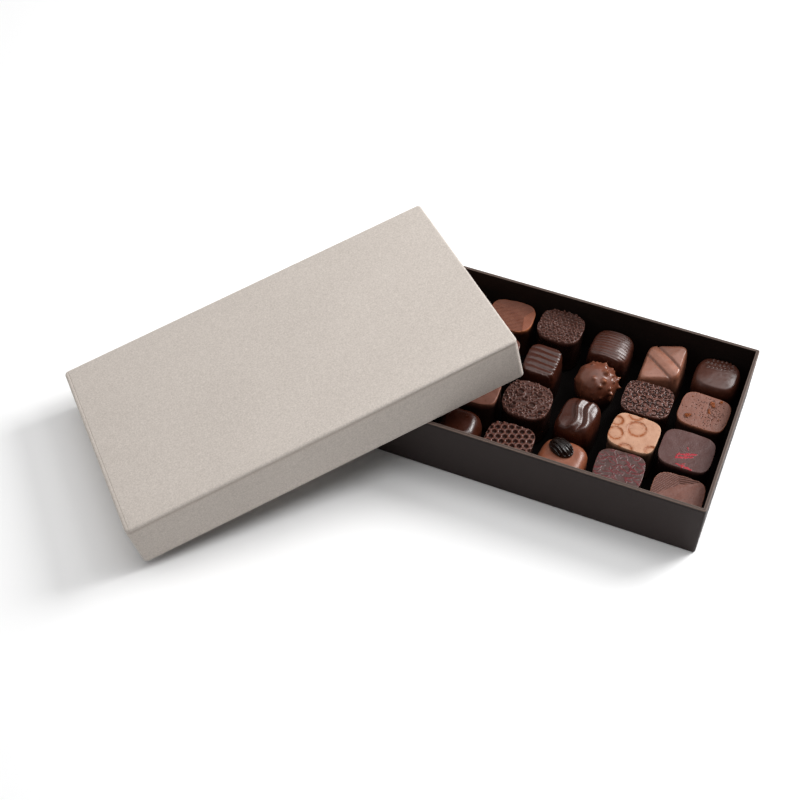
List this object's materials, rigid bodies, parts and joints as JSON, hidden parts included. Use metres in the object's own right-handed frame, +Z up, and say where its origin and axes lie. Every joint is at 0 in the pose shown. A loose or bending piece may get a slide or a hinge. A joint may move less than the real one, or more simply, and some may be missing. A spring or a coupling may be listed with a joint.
{
  "type": "box of chocolate pralines",
  "caption": "Shallow paper-covered box filled with rows of moulded and coated pralines, its matching lift-off lid leaning across one corner of the tray.",
  "frame": {"origin": "centre of the tray's underside, on the surface that the box stands on", "axes": "+X along the tray's length, away from the end that the lid leans on; +Y along its width, away from the viewer; +Z up"},
  "size_m": [0.3572, 0.2486, 0.0782],
  "materials": {
    "tray_paper": "charcoal brown paper over rigid board, faint grain, satin",
    "lid_paper": "warm light grey paper over rigid board, fine linen grain, matte",
    "dark_matte": "dark chocolate, satin with fine relief",
    "dark_coating": "glossy dark chocolate coating",
    "milk_matte": "milk chocolate, satin with fine relief",
    "milk_coating": "glossy milk chocolate coating",
    "blonde_chocolate": "blonde caramel-coloured chocolate, satin",
    "bean_chocolate": "near-black glossy chocolate bean"
  },
  "bodies": {
    "root": {"tray": "tray_paper", "lid": "lid_paper", "pearled_c1r1": "dark_coating", "crumbed_c1r2": "milk_matte", "streaked_c1r3": "dark_matte", "hatched_c1r4": "milk_matte", "banded_c2r1": "milk_coating", "ringed_c2r2": "dark_matte", "printed_c2r3": "blonde_chocolate", "marbled_c2r4": "dark_matte", "slotted_c3r1": "dark_coating", "thorned_c3r2": "milk_coating", "waved_c3r3": "dark_coating", "pillow_c3r4": "milk_coating", "stippled_c4r1": "dark_matte", "ridged_c4r2": "dark_coating", "bubbled_c4r3": "dark_matte", "pitted_c4r4": "dark_matte", "hatched_c5r1": "milk_matte", "plain_c5r2": "dark_matte", "plain_c5r3": "milk_matte", "pillow_c5r4": "dark_coating", "plain_c6r1": "blonde_chocolate", "pillow_c6r2": "milk_coating", "marbled_c6r3": "dark_matte", "crumbed_c6r4": "milk_matte", "ringed_c7r1": "dark_matte", "hatched_c7r2": "milk_matte", "pillow_c7r3": "dark_coating", "ridged_c7r4": "dark_coating", "coffee_bean": "bean_chocolate"}
  },
  "joints": []
}
